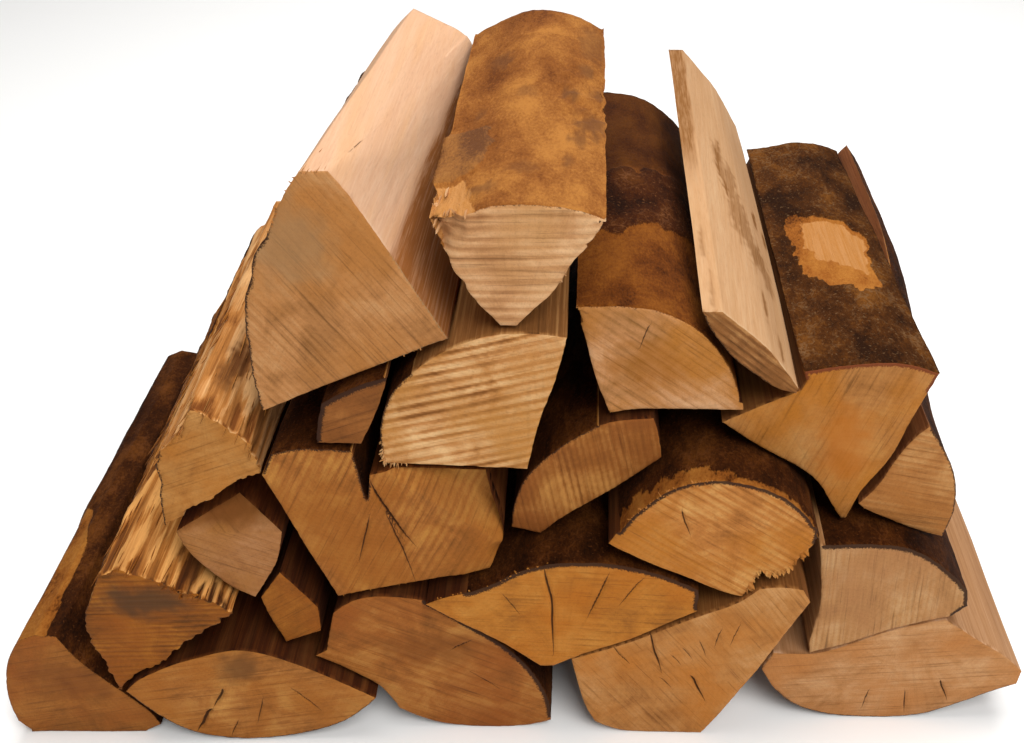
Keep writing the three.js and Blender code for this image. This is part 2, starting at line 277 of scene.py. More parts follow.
def make_log(node, middle, end, side, bark=None, bark_from_to=(), bare=None, rim=2.4, saw=(0, 7, 0.12),
             cracks=(), stains_and_shade=(), spots=(), tint=None, torn=0.0, knobbly=1.0, proud=None, shape=None, slivers=(),
             frays=()):
    """Dresses one log. middle is the face's middle (x, z) in mm, and cracks and stains are
    placed from it; some of the stains are painted shade. spots are dark places (x, y, z) on its
    side, and tint gives how dark the side is painted elsewhere, from 0 to 1, on most logs as
    painted shade. bark_from_to lists the stretches of its side with bark, as angles counted
    from the right and upwards; bare gives how far the bark is gone, from 0 to 1, and proud how
    many mm the side stands out; saw is the direction, spacing and depth of the saw marks.
    slivers (angles, shares of the length, count, mm long, mm wide, lift) lie along the side, and
    frays (angles, count, mm long, mm wide, way they hang) stand at the front edge. end, side and
    bark are the materials."""
    form = fine_log(node)
    part = form.faces.layers.int["part"]
    form.verts.index_update()
    form.normal_update()
    points = np.array([v.co[:] for v in form.verts]) / mm
    normals = np.array([v.normal[:] for v in form.verts])
    front, back, flank = (np.zeros(len(points), bool) for _ in range(3))
    for f in form.faces:
        group = (flank, front, back)[f[part]]
        for v in f.verts:
            group[v.index] = True
    seed = abs(middle[0] * 0.37 + middle[1] * 0.61)
    flat = points[:, [0, 2]] - middle
    front_y, back_y = points[:, 1].min(), points[:, 1].max()
    along = (points[:, 1] - front_y) / (back_y - front_y)
    angle = np.degrees(np.arctan2(flat[:, 1], flat[:, 0]))
    radius = np.linalg.norm(flat, axis=1)

    def from_edges(start, stop):
        """Millimetres inside a stretch of the side, negative outside it."""
        span = (stop - start) % 360
        turned = (angle - start) % 360
        depth = np.where(turned <= span, np.minimum(turned, span - turned), -np.minimum(turned - span, 360 - turned))
        return depth * radius * math.pi / 180

    inside = np.full(len(points), -99.0)
    for start, stop in bark_from_to:
        inside = np.maximum(inside, from_edges(start, stop))
    barked = inside > 0
    gone = np.zeros(len(points)) if bare is None else np.clip(bare(along, angle, points), 0, 1)
    gone = np.where(barked, gone, 1.0)

    # A clean split side is wavy along the fibres and a torn one has strips at several depths.
    # Bark is knobbly and steps down where it has come off.
    outward = normals * [1, 0, 1]
    outward /= np.maximum(np.linalg.norm(outward, axis=1), 1e-6)[:, None]
    wide = bumps(points, (13, 150, 13), seed)
    ridges = bumps(points, (2.6, 75, 2.6), seed + 1)
    narrow_strips = smooth(bumps(points, (4.5, 42, 4.5), seed + 2), -0.12, 0.12)
    broad_strips = smooth(bumps(points, (10, 80, 10), seed + 10), -0.07, 0.07)
    split_relief = 0.35 * wide + 0.3 * ridges + 0.6 * torn * (narrow_strips + broad_strips - 1)
    knobs = bumps(points, (19, 26, 19), seed + 3)
    grit = bumps(points, (3.6, 4.6, 3.6), seed + 4)
    bark_lift = 0.6 * knobs + 0.3 * grit
    bark_thickness = 2.0
    step = smooth(gone, 0.2, 0.4) * bark_thickness * 0.6 + smooth(gone, 0.6, 0.8) * bark_thickness * 0.4
    sunk = np.where(
        barked,
        0.35 - 0.9 * knobbly * bark_lift * (1 - 0.5 * gone) + step,
        0.3 - (0.5 + 1.1 * torn) * split_relief + 0.5 * torn)
    nicks = bumps(points, (5, 14, 5), seed + 5)
    lip = 0.35 * (1 + torn) * np.maximum(nicks, 0) * np.exp(-(points[:, 1] - front_y) / 6)
    sunk = np.where(flank, np.maximum(sunk, -0.4) + lip, 0)
    if proud is not None:
        sunk -= np.where(flank, proud(along, angle, points), 0)
    shift = -outward * sunk[:, None]

    # The points just inside a sawn end's edge move with the edge, so that it stays even.
    edge_gap = np.full(len(points), 99.0)
    for sawn in (front, back):
        edge = np.flatnonzero(sawn & flank)
        face = np.flatnonzero(sawn & ~flank)
        far = np.hypot(flat[face, None, 0] - flat[None, edge, 0], flat[face, None, 1] - flat[None, edge, 1])
        nearest = far.argmin(1)
        edge_gap[face] = far[np.arange(len(face)), nearest]
        edge_gap[edge] = 0
        shift[face] = shift[edge[nearest]] * np.exp(-edge_gap[face] / 7)[:, None]
    moved = points + shift

    # Saw marks run across each end as broad bands with narrow grooves between them, and the
    # cracks are sunk into the front one.
    direction, spacing, depth = saw
    turned = math.radians(direction)
    run = flat @ [math.cos(turned), math.sin(turned)]
    rise = flat @ [-math.sin(turned), math.cos(turned)]
    stripes = np.column_stack([run, np.zeros(len(run)), rise])
    wander = bumps(stripes, (110, 1, 20), seed + 6)
    strength = np.clip(0.65 + 0.7 * bumps(stripes, (60, 1, 1.6 * spacing), seed + 7), 0.1, 1)
    wave = np.sin(2 * math.pi * rise / spacing + 2.6 * wander)
    marks = strength * (2 * smooth(wave, -0.95, 0.35) - 1)
    marks += 0.25 * bumps(stripes, (60, 1, 0.5 * spacing), seed + 8)
    uneven = bumps(stripes, (35, 1, 25), seed + 9)
    crack_gap, crack_half = np.full(len(points), 9.0), np.full(len(points), -99.0)
    crack_sink = np.zeros(len(points))
    for corners, width in cracks:
        gap, share, hand = to_line(flat + 0.5 * np.column_stack([wide, nicks]), corners)
        half = 0.5 * width * np.clip(np.minimum(share / 0.2, (1 - share) / 0.3), 0, 1)
        nearer = gap < np.abs(crack_gap)
        crack_gap[nearer] = (gap * hand)[nearer]
        crack_half[nearer] = (half - 20 * np.maximum(gap - 3, 0))[nearer]
        crack_sink = np.maximum(crack_sink, 2.4 * smooth(half + 0.8 - gap, 0, 1.1) * np.minimum(half / 0.4, 1))
    face_in = 0.4 - depth * marks - 0.35 * uneven + 0.5 * np.exp(-edge_gap / 0.9)
    moved[:, 1] += np.where(front, face_in + crack_sink, 0) - np.where(back, face_in, 0)
    relief = np.where(
        front | back, 0.5 + 0.4 * marks, np.where(barked, 0.5 + 0.6 * bark_lift, 0.5 + 0.4 * split_relief))

    # On the sawn ends: how far a point is from the bark, and the stains, some of them painted shade. On the side:
    # spots, and the tint, on most logs painted shade.
    rim_gap = np.full(len(points), 99.0)
    for sawn in (front, back):
        edge = flat[sawn & flank & barked & (gone < 0.75)]
        if len(edge):
            face = np.flatnonzero(sawn)
            rim_gap[face] = [np.min(np.hypot(*(edge - p).T)) for p in flat[face]]
    stain = np.zeros(len(points))
    for (x, z), (wide_x, wide_z), amount in stains_and_shade:
        gap = np.hypot((flat[:, 0] - x) / wide_x, (flat[:, 1] - z) / wide_z)
        blot = amount * smooth(-gap - 0.4 * wide - 0.25 * nicks, -1.25, -0.3)
        stain = np.maximum(stain, np.where(front, blot, 0))
    for place, (wide_x, long_y), amount in spots:
        gap = (points - place) / [wide_x, long_y, 2 * wide_x]
        blot = amount * smooth(-np.linalg.norm(gap, axis=1) - 0.5 * grit - 0.3 * ridges, -1.2, -0.5)
        stain = np.maximum(stain, np.where(flank & ~front, blot, 0))
    if tint is not None:
        stain = np.maximum(stain, np.where(flank, tint(along, flat, points), 0))
    if shape is not None:
        moved = shape(moved, flat, along, front)

    # Torn fibres: slivers half lifted from the side, and frays round the front edge.
    draws = np.random.default_rng(int(seed * 10))
    fibres = bmesh.new()
    tones = []
    for (start, stop), (low, high), count, (short, long), width, lift in slivers:
        fits = np.flatnonzero(flank & ~front & ~back & (from_edges(start, stop) > 0) & (along >= low) & (along <= high))
        for i in draws.choice(fits, count):
            tilt = draws.uniform(0.3, 1.0) * lift
            side_tilt = draws.normal(0, 0.035, 3)
            length = min(draws.uniform(short, long), points[i, 1] - front_y + 4)
            tones += torn_fibre(
                fibres, moved[i] - 0.5 * width * outward[i], side_tilt + [0, -1, 0] + tilt * outward[i],
                tilt * outward[i], length, width * draws.uniform(0.6, 1.2)) * [draws.uniform(0.2, 0.95)]
    sliver_faces = len(fibres.faces)
    for (start, stop), count, (short, long), width, way in frays:
        fits = np.flatnonzero(flank & front & (from_edges(start, stop) > 0))
        for i in draws.choice(fits, count):
            run_way = outward[i] * draws.uniform(0.1, 0.7) + [0, -draws.uniform(0.1, 0.8), 0] + draws.normal(0, 0.3, 3)
            tones += torn_fibre(
                fibres, moved[i] + [0, 0.8, 0] - 0.8 * outward[i], run_way, np.array(way) * draws.uniform(0.3, 1.6),
                draws.uniform(short, long), width * draws.uniform(0.6, 1.3)) * [draws.uniform(0.35, 1.0)]
    moved[:, 2] = np.maximum(moved[:, 2], 0)
    for v, place in zip(form.verts, (moved * mm).tolist()):
        v.co = place

    # Faces take the material of their part, and a side face with bark at its middle is bark.
    for f in form.faces:
        if f[part]:
            f.material_index = 0
        else:
            with_bark = sum(inside[v.index] for v in f.verts) > 0
            f.material_index = 2 if with_bark and bark else 1
    if tones:
        fibres.faces.ensure_lookup_table()
        for f in fibres.faces[sliver_faces:]:
            f.tag = not torn
        bmesh.ops.recalc_face_normals(fibres, faces=fibres.faces)
        for f in fibres.faces:
            f.material_index = 0 if f.tag else 1
        loose = bpy.data.meshes.new("loose_fibres")
        fibres.to_mesh(loose)
        form.from_mesh(loose)
        bpy.data.meshes.remove(loose)
    fibres.free()
    for f in form.faces:
        f.smooth = True
    mesh = bpy.data.meshes.new(node + "_dressed")
    form.to_mesh(mesh)
    form.free()
    added = len(tones)
    for name, values, on_fibres in (
        ("relief", relief, tones), ("bare", gone, [1] * added), ("crack", crack_gap, [9] * added),
        ("crack_half", crack_half, [-99] * added),
        ("rim", rim_gap - rim, [99] * added), ("stain", stain, [0] * added),
    ):
        layer = mesh.attributes.new(name, "FLOAT", "POINT")
        layer.data.foreach_set("value", np.concatenate([values, on_fibres]).astype(np.float32))
    for material in (end, side, bark):
        if material:
            mesh.materials.append(material)
    mesh.set_sharp_from_angle(angle=math.radians(50))
    piece = bpy.data.objects.new(node + "_dressed", mesh)
    bpy.context.scene.collection.objects.link(piece)
    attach(piece, "root")
    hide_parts(node)
    return piece


def sawn_end(name, pith, direction, dark, middle, light, warm, stain="#6B4420", stripes=0.4, lines=1.0, edge="#2E180B"):
    """Wood cross-cut with a chainsaw and dried: matt, striped across by the chain, with fine
    dark lines, warm and dull patches, and dark cracks. pith is (x, z) in mm."""
    material = bpy.data.materials.new(name)
    material.use_nodes = True
    tree = material.node_tree
    tree.nodes.clear()
    place = add(tree, "TexCoord")["Object"]
    local = add(tree, "Mapping", {
        "vector_type": "TEXTURE", "Location": (pith[0] * mm, 0, pith[1] * mm),
        "Rotation": (0, -math.radians(direction), 0), "Scale": (mm, mm, mm)}, {"Vector": place})[0]
    relief = add(tree, "Attribute", {"attribute_name": "relief"})["Fac"]

    # The chain's scratches, about 1.3 mm apart and 40 mm long, and dull patches 25 mm wide.
    drawn = add(tree, "VectorMath", {"operation": "MULTIPLY", 1: (1 / 40, 1 / 40, 1 / 1.3)}, {0: local})[0]
    scratches = add(tree, "TexNoise", {"Scale": 1.0, "Detail": 3.0, "Roughness": 0.6}, {"Vector": drawn})[0]
    dull = add(tree, "TexNoise", {"Scale": 1 / 25, "Detail": 5.0, "Roughness": 0.6, "Distortion": 0.6}, {"Vector": local})[0]
    # The saw marks' relief sets the level too, so the raised bands come out lighter and the grooves darker: the chain's
    # stripes, with painted light and shade on them.
    level = add(tree, "Math", {"operation": "MULTIPLY_ADD", 1: stripes, 2: 0.5 - 0.5 * stripes}, {0: relief})[0]
    level = add(tree, "Math", {"operation": "MULTIPLY_ADD", 1: 0.35}, {0: scratches, 2: level})[0]
    level = add(tree, "Math", {"operation": "MULTIPLY_ADD", 1: 1.5}, {0: dull, 2: level})[0]
    level = add(tree, "Math", {"operation": "SUBTRACT", 1: 0.925}, {0: level})[0]
    color = add(tree, "ValToRGB", {"stops": (
        (0.12, linear(dark)), (0.5, linear(middle)), (0.88, linear(light)))}, {"Fac": level})[0]

    # Warm patches some 45 mm wide.
    patches = add(tree, "VectorMath", {"operation": "ADD", 1: (83, 0, 41)}, {0: local})[0]
    patches = add(tree, "TexNoise", {"Scale": 1 / 45, "Detail": 4.0, "Roughness": 0.5}, {"Vector": patches})[0]
    patches = add(tree, "MapRange", {1: 0.42, 2: 0.62, 3: 0.0, 4: 0.8}, {0: patches})[0]
    color = add(tree, "Mix", {"data_type": "RGBA", 7: linear(warm)}, {0: patches, 6: color})[2]

    # Thin dark lines along the marks, growth rings 3 mm apart, faint rays, and fine specks.
    thin = add(tree, "MapRange", {1: 0.3, 2: 0.44, 3: 1 - 0.3 * lines, 4: 1.0}, {0: scratches})[0]
    parts = add(tree, "SeparateXYZ", {}, {0: local})
    angle = add(tree, "Math", {"operation": "ARCTAN2"}, {0: parts[2], 1: parts[0]})[0]
    across = add(tree, "VectorMath", {"operation": "MULTIPLY", 1: (1, 0, 1)}, {0: local})[0]
    radius = add(tree, "VectorMath", {"operation": "LENGTH"}, {0: across})["Value"]
    around = add(tree, "Math", {"operation": "MULTIPLY", 1: 22.0}, {0: angle})[0]
    outward = add(tree, "Math", {"operation": "MULTIPLY", 1: 1 / 30}, {0: radius})[0]
    fan = add(tree, "CombineXYZ", {}, {0: around, 1: outward})[0]
    ray = add(tree, "TexNoise", {"Scale": 1.0, "Detail": 2.0}, {"Vector": fan})[0]
    ray = add(tree, "MapRange", {1: 0.34, 2: 0.5, 3: 0.93, 4: 1.0}, {0: ray})[0]
    ring = add(tree, "Math", {"operation": "MULTIPLY_ADD", 1: 2 * math.pi / 3.0}, {0: radius, 2: dull})[0]
    ring = add(tree, "Math", {"operation": "SINE"}, {0: ring})[0]
    ring = add(tree, "Math", {"operation": "MULTIPLY_ADD", 1: 0.02, 2: 0.99}, {0: ring})[0]
    specks = add(tree, "TexNoise", {"Scale": 1.1, "Detail": 3.0, "Roughness": 0.6}, {"Vector": local})[0]
    speck_shade = add(tree, "MapRange", {1: 0.3, 2: 0.5, 3: 0.86, 4: 1.02}, {0: specks})[0]
    shade = add(tree, "Math", {"operation": "MULTIPLY"}, {0: ray, 1: ring})[0]
    shade = add(tree, "Math", {"operation": "MULTIPLY"}, {0: shade, 1: speck_shade})[0]
    shade = add(tree, "Math", {"operation": "MULTIPLY"}, {0: shade, 1: thin})[0]
    color = add(tree, "VectorMath", {"operation": "SCALE"}, {0: color, "Scale": shade})[0]

    # Stains, some of them painted shade, then the bark's rim at the edge, and the cracks, painted near black as painted
    # shade inside them.
    stained = add(tree, "Attribute", {"attribute_name": "stain"})["Fac"]
    color = add(tree, "Mix", {"data_type": "RGBA", 7: linear(stain)}, {0: stained, 6: color})[2]
    rim = add(tree, "Attribute", {"attribute_name": "rim"})["Fac"]
    ragged = add(tree, "Math", {"operation": "MULTIPLY_ADD", 1: 4.0, 2: -2.0}, {0: specks})[0]
    rim = add(tree, "Math", {"operation": "ADD"}, {0: rim, 1: ragged})[0]
    rim = add(tree, "MapRange", {1: -0.5, 2: 0.5, 3: 0.95, 4: 0.0}, {0: rim})[0]
    color = add(tree, "Mix", {"data_type": "RGBA", 7: linear(edge)}, {0: rim, 6: color})[2]
    crack = add(tree, "Attribute", {"attribute_name": "crack"})["Fac"]
    crack = add(tree, "Math", {"operation": "ABSOLUTE"}, {0: crack})[0]
    half = add(tree, "Attribute", {"attribute_name": "crack_half"})["Fac"]
    crack = add(tree, "Math", {"operation": "SUBTRACT"}, {0: crack, 1: half})[0]
    crack = add(tree, "MapRange", {1: -0.1, 2: 0.3, 3: 0.88, 4: 0.0}, {0: crack})[0]
    color = add(tree, "Mix", {"data_type": "RGBA", 7: linear("#2B1306")}, {0: crack, 6: color})[2]

    bump = add(tree, "Math", {"operation": "MULTIPLY_ADD", 1: 0.5}, {0: specks, 2: scratches})[0]
    normal = add(tree, "Bump", {"Strength": 0.6, "Distance": 0.45 * mm}, {"Height": bump})[0]
    shader = add(tree, "BsdfPrincipled", {"Roughness": 0.85, "IOR": 1.5, "Specular IOR Level": 0.2}, {
        "Base Color": color, "Normal": normal})[0]
    add(tree, "OutputMaterial", {}, {"Surface": shader})
    return material


def split_side(name, dark, middle, light, streak="#7A4A22", streaks=0.35, contrast=1.0, stain="#6A3E1C"):
    """Wood split along the grain and dried: long fibres, painted lighter on the ridges and darker in
    the grooves as painted light and shade, with fine brown flecks and broader brown streaks."""
    material = bpy.data.materials.new(name)
    material.use_nodes = True
    tree = material.node_tree
    tree.nodes.clear()
    place = add(tree, "TexCoord")["Object"]
    local = add(tree, "Mapping", {"vector_type": "TEXTURE", "Scale": (mm, mm, mm)}, {"Vector": place})[0]
    relief = add(tree, "Attribute", {"attribute_name": "relief"})["Fac"]

    # Fibres about 1.2 mm wide and 90 mm long, and flecks 1 mm wide and 7 mm long.
    drawn = add(tree, "VectorMath", {"operation": "MULTIPLY", 1: (1 / 1.2, 1 / 90, 1 / 1.2)}, {0: local})[0]
    fibres = add(tree, "TexNoise", {"Scale": 1.0, "Detail": 4.0, "Roughness": 0.6}, {"Vector": drawn})[0]
    short = add(tree, "VectorMath", {"operation": "MULTIPLY", 1: (1 / 1.0, 1 / 7, 1 / 1.0)}, {0: local})[0]
    flecks = add(tree, "TexNoise", {"Scale": 1.0, "Detail": 2.0}, {"Vector": short})[0]
    level = add(tree, "Math", {"operation": "SUBTRACT", 1: 0.5}, {0: relief})[0]
    level = add(tree, "Math", {"operation": "MULTIPLY_ADD", 1: 0.75}, {0: fibres, 2: level})[0]
    level = add(tree, "Math", {"operation": "MULTIPLY_ADD", 1: contrast, 2: 0.5 - 0.375 * contrast}, {0: level})[0]
    color = add(tree, "ValToRGB", {"stops": (
        (0.15, linear(dark)), (0.5, linear(middle)), (0.85, linear(light)))}, {"Fac": level})[0]

    # Brown streaks some 9 mm wide and 130 mm long.
    long = add(tree, "VectorMath", {"operation": "MULTIPLY", 1: (1 / 9, 1 / 130, 1 / 9)}, {0: local})[0]
    stroke = add(tree, "TexNoise", {"Scale": 1.0, "Detail": 4.0, "Distortion": 0.3}, {"Vector": long})[0]
    stroke = add(tree, "MapRange", {1: 0.48, 2: 0.68, 3: 0.0, 4: streaks}, {0: stroke})[0]
    color = add(tree, "Mix", {"data_type": "RGBA", 7: linear(streak)}, {0: stroke, 6: color})[2]
    shade = add(tree, "MapRange", {1: 0.3, 2: 0.46, 3: 1 - 0.13 * contrast, 4: 1.0}, {0: flecks})[0]
    color = add(tree, "VectorMath", {"operation": "SCALE"}, {0: color, "Scale": shade})[0]
    # Stains and spots darken the colour towards the stain colour, and so does the tint, which on most logs is painted
    # shade.
    stained = add(tree, "Attribute", {"attribute_name": "stain"})["Fac"]
    uneven = add(tree, "MapRange", {1: 0.3, 2: 0.7, 3: -0.4, 4: 0.4}, {0: fibres})[0]
    blotted = add(tree, "Math", {"operation": "ADD"}, {0: stained, 1: uneven})[0]
    blotted = add(tree, "Math", {"operation": "MULTIPLY", "use_clamp": True}, {0: blotted, 1: stained})[0]
    color = add(tree, "Mix", {"data_type": "RGBA", 7: linear(stain)}, {0: blotted, 6: color})[2]
    bump = add(tree, "Math", {"operation": "MULTIPLY_ADD", 1: 0.5}, {0: flecks, 2: fibres})[0]
    normal = add(tree, "Bump", {"Strength": 0.55 * contrast, "Distance": 0.5 * mm}, {"Height": bump})[0]
    shader = add(tree, "BsdfPrincipled", {"Roughness": 0.85, "IOR": 1.5, "Specular IOR Level": 0.1}, {
        "Base Color": color, "Normal": normal})[0]
    add(tree, "OutputMaterial", {}, {"Surface": shader})
    return material


def tree_bark(name, dark, middle, light, inner_dark, inner, inner_light, wood, net, mottle=22.0):
    """Dry bark: dark and scurfy outside with a fine net of lighter lines, orange and mottled
    where its outer layer is gone, and pale wood where all of it is. mottle is in mm."""
    material = bpy.data.materials.new(name)
    material.use_nodes = True
    tree = material.node_tree
    tree.nodes.clear()
    place = add(tree, "TexCoord")["Object"]
    local = add(tree, "Mapping", {"vector_type": "TEXTURE", "Scale": (mm, mm, mm)}, {"Vector": place})[0]
    relief = add(tree, "Attribute", {"attribute_name": "relief"})["Fac"]
    grown = add(tree, "VectorMath", {"operation": "MULTIPLY", 1: (1, 1 / 1.8, 1)}, {0: local})[0]
    blotches = add(tree, "TexNoise", {"Scale": 1 / mottle, "Detail": 6.0, "Roughness": 0.62, "Distortion": 0.3}, {
        "Vector": grown})[0]
    drawn_out = add(tree, "VectorMath", {"operation": "MULTIPLY", 1: (1 / 1.3, 1 / 2.6, 1 / 1.3)}, {0: local})[0]
    scurf = add(tree, "TexNoise", {"Scale": 1.0, "Detail": 4.0, "Roughness": 0.7}, {"Vector": drawn_out})[0]
    # The knobs are painted a little lighter and the hollows darker, painted light and shade from the relief.
    level = add(tree, "Math", {"operation": "MULTIPLY_ADD", 1: 0.25, 2: -0.125}, {0: relief})[0]
    level = add(tree, "Math", {"operation": "ADD"}, {0: blotches, 1: level})[0]
    level = add(tree, "Math", {"operation": "MULTIPLY_ADD", 1: 0.5}, {0: scurf, 2: level})[0]
    level = add(tree, "Math", {"operation": "SUBTRACT", 1: 0.25}, {0: level})[0]
    outer = add(tree, "ValToRGB", {"stops": (
        (0.32, linear(dark)), (0.52, linear(middle)), (0.75, linear(light)))}, {"Fac": level})[0]
    under = add(tree, "ValToRGB", {"stops": (
        (0.28, linear(inner_dark)), (0.45, linear(inner)), (0.68, linear(inner_light)))}, {"Fac": level})[0]

    # The net's lines lie some 9 mm apart across the log and 14 mm along it, broken up.
    bent = add(tree, "TexNoise", {"Scale": 1 / 8, "Detail": 4.0}, {"Vector": local})[1]
    bent = add(tree, "VectorMath", {"operation": "SCALE", "Scale": 16.0}, {0: bent})[0]
    bent = add(tree, "VectorMath", {"operation": "ADD"}, {0: local, 1: bent})[0]
    cells = add(tree, "VectorMath", {"operation": "MULTIPLY", 1: (1 / 9, 1 / 14, 1 / 9)}, {0: bent})[0]
    lines = add(tree, "TexVoronoi", {"feature": "DISTANCE_TO_EDGE", "Scale": 1.0}, {"Vector": cells})[0]
    lines = add(tree, "MapRange", {1: 0.01, 2: 0.07, 3: 1.0, 4: 0.0}, {0: lines})[0]
    patchy = add(tree, "MapRange", {1: 0.45, 2: 0.62, 3: 0.0, 4: 0.5}, {0: blotches})[0]
    patchy = add(tree, "Math", {"operation": "MULTIPLY"}, {0: lines, 1: patchy})[0]
    outer = add(tree, "Mix", {"data_type": "RGBA", 7: linear(net)}, {0: patchy, 6: outer})[2]
    specks = add(tree, "TexNoise", {"Scale": 1 / 1.8, "Detail": 2.0}, {"Vector": local})[0]
    specks = add(tree, "MapRange", {1: 0.62, 2: 0.72, 3: 0.0, 4: 0.6}, {0: specks})[0]
    outer = add(tree, "Mix", {"data_type": "RGBA", 7: linear(net)}, {0: specks, 6: outer})[2]
    drawn = add(tree, "VectorMath", {"operation": "MULTIPLY", 1: (1 / 1.6, 1 / 40, 1 / 1.6)}, {0: local})[0]
    fibres = add(tree, "TexNoise", {"Scale": 1.0, "Detail": 3.0, "Roughness": 0.6}, {"Vector": drawn})[0]
    naked = add(tree, "ValToRGB", {"stops": ((0.25, linear(inner_light)), (0.6, linear(wood)))}, {"Fac": fibres})[0]

    # The edges of a bare place are ragged.
    bare = add(tree, "Attribute", {"attribute_name": "bare"})["Fac"]
    bare = add(tree, "Math", {"operation": "MULTIPLY_ADD", 1: 0.35}, {0: scurf, 2: bare})[0]
    bare = add(tree, "Math", {"operation": "SUBTRACT", 1: 0.175}, {0: bare})[0]
    off = add(tree, "MapRange", {1: 0.24, 2: 0.36}, {0: bare})[0]
    gone = add(tree, "MapRange", {1: 0.64, 2: 0.76}, {0: bare})[0]
    color = add(tree, "Mix", {"data_type": "RGBA"}, {0: off, 6: outer, 7: under})[2]
    color = add(tree, "Mix", {"data_type": "RGBA"}, {0: gone, 6: color, 7: naked})[2]
    # Spots darken the bark to its dark colour, and so does a log's tint where it reaches the bark, on the frayed log
    # and the plank painted shade.
    stained = add(tree, "Attribute", {"attribute_name": "stain"})["Fac"]
    color = add(tree, "Mix", {"data_type": "RGBA", 7: linear(dark)}, {0: stained, 6: color})[2]
    bump = add(tree, "Math", {"operation": "MULTIPLY_ADD", 1: 0.6}, {0: scurf, 2: blotches})[0]
    bump = add(tree, "Math", {"operation": "MULTIPLY_ADD", 1: 0.15}, {0: lines, 2: bump})[0]
    normal = add(tree, "Bump", {"Strength": 0.9, "Distance": 1.0 * mm}, {"Height": bump})[0]
    shader = add(tree, "BsdfPrincipled", {"Roughness": 0.9, "IOR": 1.45, "Specular IOR Level": 0.08}, {
        "Base Color": color, "Normal": normal})[0]
    add(tree, "OutputMaterial", {}, {"Surface": shader})
    return material


dark_bark = tree_bark(
    "dry_beech_bark", "#1D0A01", "#391A04", "#5D330F", "#421F06", "#804918", "#976127", "#B9844B", net="#5E3518")


def corner_log_bare(along, angle, points):
    peeled = [(-312, -172), (-312, -46), (-278, -48), (-269, -100), (-266, -172)]
    off = within(points[:, :2] + 3 * bumps(points, (9, 16, 9), 3)[:, None], peeled)
    return 0.5 * smooth(off, -2, 1) + 0.12 * smooth(off, 3, 12)


make_log(
    "bottom_left_corner_log", (-265, 38),
    end=sawn_end("sawn_beech_corner_log", (-295, 5), 12, "#6B3E13", "#8D551E", "#A2682A", "#894913", stripes=0.1,
                 stain="#6E3A0E"),
    side=split_side("split_beech_corner_log", "#2E190C", "#5A3418", "#7E5028"),
    bark=dark_bark, bark_from_to=((-44, 228),), bare=corner_log_bare, saw=(12, 6, 0.05), rim=0,
    stains_and_shade=(((2, 6), (30, 17), 0.55),))


# The rest of the bottom row: two half rounds with the round side down, a thick slab that
# leans on the left one, and a broad wedge. All are beech, cut and split as the first.
make_log(
    "bottom_half_round_log", (-155, 38),
    end=sawn_end("sawn_beech_half_round", (-158, 72), 8, "#724316", "#9E642B", "#BB8543", "#985A1C", stripes=0.2,
                 stain="#5E3A18"),
    # Its split side is painted near black: painted shade, as that side shows only in the gaps between the logs.
    side=split_side("split_beech_half_round", "#220C02", "#3E1B06", "#5C2F0D"),
    bark=dark_bark, bark_from_to=((178, 356),), rim=0.8, saw=(8, 6, 0.06),
    cracks=(
        ([(-16, 8), (-17, 4), (-20, -1), (-24, -7)], 1.3),
        ([(-25, -9), (-29, -13), (-33, -22), (-38, -29)], 1.5),
        ([(24, 8), (31, -1), (39, -12)], 0.4),
        ([(6, -1), (3, -12), (0, -22)], 0.4),
        ([(-12, -20), (-18, -34)], 0.4)),
    stains_and_shade=(((-4, 26), (14, 14), 0.75),))
make_log(
    "bottom_slab_log", (-45, 58),
    end=sawn_end("sawn_beech_slab", (40, -30), -28, "#6A3D13", "#985C24", "#B47C3C", "#894A16", stripes=0.2,
                 stain="#6A390D"),
    # Its split side is painted near black: painted shade, as that side shows only in the gaps between the logs.
    side=split_side("split_beech_slab", "#220C02", "#3E1B06", "#5C2F0D"),
    bark=dark_bark, bark_from_to=((-36, 92),), rim=2.6, saw=(-28, 7, 0.07),
    cracks=(([(10, 12), (15, 15), (21, 20)], 0.5), ([(19, -7), (36, -23)], 0.3)),
    stains_and_shade=(((-3, 12), (38, 15), 0.55),))
make_log(
    "bottom_broad_wedge_log", (100, 68),
    end=sawn_end("sawn_beech_broad_wedge", (20, 40), -55, "#83501F", "#AA723A", "#BB8A56", "#AC6924", stripes=0.12),
    side=split_side("split_beech_broad_wedge", "#462A14", "#7A4A22", "#9E6A36"),
    saw=(-55, 5, 0.05),
    cracks=(
        ([(-22, 28), (-18, 8), (-16, 0), (-13, -11)], 0.8),
        ([(4, -14), (6, -18), (9, -26), (14, -37)], 1.0),
        ([(-42, 11), (-37, 2), (-32, -4)], 0.4),
        ([(-8, 4), (-2, -4)], 0.3), ([(-2, 10), (4, 1)], 0.3), ([(-14, -16), (-7, -25)], 0.3),
        ([(8, 16), (12, 4)], 0.35), ([(20, 26), (17, 12)], 0.35), ([(30, 30), (26, 14)], 0.3)))
make_log(
    "bottom_right_half_round_log", (226, 42),
    end=sawn_end("sawn_beech_right_half_round", (231, 79), 5, "#8F5D2F", "#B07D4E", "#C29669", "#AC6F38", stripes=0.15),
    side=split_side("split_beech_right_half_round", "#7C502E", "#A77951", "#C19774", contrast=0.8),
    bark=dark_bark, bark_from_to=((194, 350),), rim=0.8, saw=(5, 6, 0.05),
    cracks=(
        ([(11, -16), (13, -36)], 0.5),
        ([(-11, -16), (-13, -32)], 0.5),
        ([(31, -7), (33, -14), (38, -25)], 0.7)))


# The left side: a frayed quarter, a thin stick, a squarish log and a splintered one, all
# beech, stacked up the slope between the corner log and the middle of the stack.
def frayed_bare(along, angle, points):
    return 0.5 + 0.6 * bumps(points, (10, 30, 10), 8)


